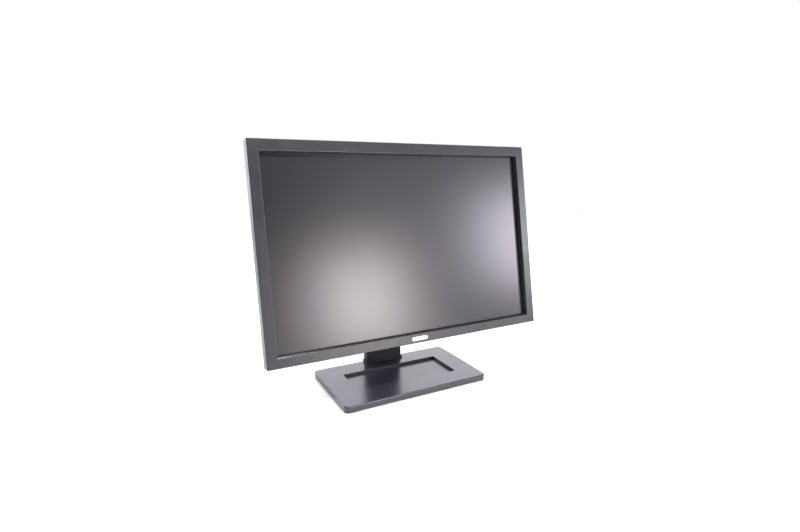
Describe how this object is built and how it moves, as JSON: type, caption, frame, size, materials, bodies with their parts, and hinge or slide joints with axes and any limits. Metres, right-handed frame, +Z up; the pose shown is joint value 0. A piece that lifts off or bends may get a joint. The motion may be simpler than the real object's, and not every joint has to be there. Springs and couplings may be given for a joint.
{
  "type": "computer monitor",
  "caption": "Wide-screen flat-panel desk monitor with a tilting head on a flat neck and a rectangular base with a sunk tray.",
  "frame": {"origin": "on the desk, under the middle of the base", "axes": "+X to the viewer's right along the screen, +Y towards the back, +Z up; the screen faces -Y"},
  "size_m": [0.511, 0.158, 0.423],
  "materials": {
    "casing": "fine spark texture, satin",
    "badge_metal": "satin",
    "black_screw": "black zinc",
    "zinc_screw": "zinc plated",
    "panel_steel": "rolled, bright",
    "zinc_steel": "galvanised",
    "screen": "anti-glare, matt",
    "moulded_black": "moulded",
    "film": "frosted",
    "clear_acrylic": "clear",
    "white_film": "white",
    "lamp_glass": "phosphor coated",
    "white_rubber": "moulded",
    "bright_aluminium": "bright",
    "circuit_board": "solder mask",
    "wound_core": "ferrite and tape",
    "capacitor_sleeve": "shrink sleeve",
    "plain_aluminium": "mill",
    "chip_black": "moulded resin",
    "tinplate": "tinned",
    "ribbon": "laminated",
    "connector_black": "moulded",
    "connector_metal": "nickel plated",
    "spring_steel": "oiled",
    "light_pipe": "smoked clear",
    "hinge_steel": "black oxide",
    "bronze": "oiled",
    "base_steel": "black, satin",
    "foot_rubber": "moulded"
  },
  "bodies": {
    "stand": {"hinge_shaft": "hinge_steel", "friction_washers": "bronze", "spring_washers": "spring_steel", "hinge_nuts": "zinc_steel", "hinge_neck_bracket": "hinge_steel", "neck_riser": "hinge_steel", "neck_front_cover": "casing", "neck_rear_cover": "casing", "cable_clip": "casing", "foot_collar": "casing", "base_cover": "casing", "base_plate": "base_steel", "base_screws": "zinc_screw", "rubber_feet": "foot_rubber"},
    "head": {"front_bezel": "casing", "rear_cover": "casing", "hinge_hood": "casing", "badge": "badge_metal", "cover_screws": "black_screw", "chassis_screws": "zinc_screw", "panel_front_frame": "panel_steel", "panel_rear_tray": "panel_steel", "panel_side_brackets": "zinc_steel", "lcd_glass": "screen", "panel_mid_frame": "moulded_black", "optical_films": "film", "light_guide": "clear_acrylic", "reflector_sheet": "white_film", "backlight_lamps": "lamp_glass", "lamp_end_caps": "white_rubber", "lamp_reflectors": "bright_aluminium", "panel_driver_board": "circuit_board", "main_chassis": "zinc_steel", "stand_socket": "zinc_steel", "vesa_standoffs": "zinc_steel", "latch_guide": "moulded_black", "latch_spring": "spring_steel", "board_spacers": "zinc_steel", "power_board": "circuit_board", "video_board": "circuit_board", "transformers": "wound_core", "capacitors": "capacitor_sleeve", "heat_sink": "plain_aluminium", "video_chips": "chip_black", "board_shield": "tinplate", "panel_ribbon": "ribbon", "power_inlet": "connector_black", "analog_connector": "connector_metal", "digital_connector": "connector_metal", "connector_posts": "connector_metal", "key_switches": "chip_black", "key_board": "circuit_board", "power_light": "light_pipe", "hinge_head_bracket": "hinge_steel"},
    "release_latch": {"release_latch": "moulded_black"},
    "menu_key_1": {"menu_key_1": "casing"},
    "menu_key_2": {"menu_key_2": "casing"},
    "menu_key_3": {"menu_key_3": "casing"},
    "menu_key_4": {"menu_key_4": "casing"},
    "power_key": {"power_key": "casing"}
  },
  "joints": [
    {"name": "head_tilt", "type": "hinge", "parent": "stand", "child": "head", "pos_m": [0, 0.04012, 0.2361], "axis": [-1, 0, 0], "range_deg": [-15, 10]},
    {"name": "release_latch_push", "type": "slide", "parent": "head", "child": "release_latch", "axis": [0, -0.9816, 0.1908], "range_m": [0, 0.004], "stiffness_N_per_m": 500, "springref_m": -0.002, "deforming": ["latch_spring"]},
    {"name": "menu_key_1_press", "type": "slide", "parent": "head", "child": "menu_key_1", "axis": [0, 0.1908, 0.9816], "range_m": [0, 0.0005], "stiffness_N_per_m": 1200},
    {"name": "menu_key_2_press", "type": "slide", "parent": "head", "child": "menu_key_2", "axis": [0, 0.1908, 0.9816], "range_m": [0, 0.0005], "stiffness_N_per_m": 1200},
    {"name": "menu_key_3_press", "type": "slide", "parent": "head", "child": "menu_key_3", "axis": [0, 0.1908, 0.9816], "range_m": [0, 0.0005], "stiffness_N_per_m": 1200},
    {"name": "menu_key_4_press", "type": "slide", "parent": "head", "child": "menu_key_4", "axis": [0, 0.1908, 0.9816], "range_m": [0, 0.0005], "stiffness_N_per_m": 1200},
    {"name": "power_key_press", "type": "slide", "parent": "head", "child": "power_key", "axis": [0, 0.1908, 0.9816], "range_m": [0, 0.0005], "stiffness_N_per_m": 1200}
  ]
}
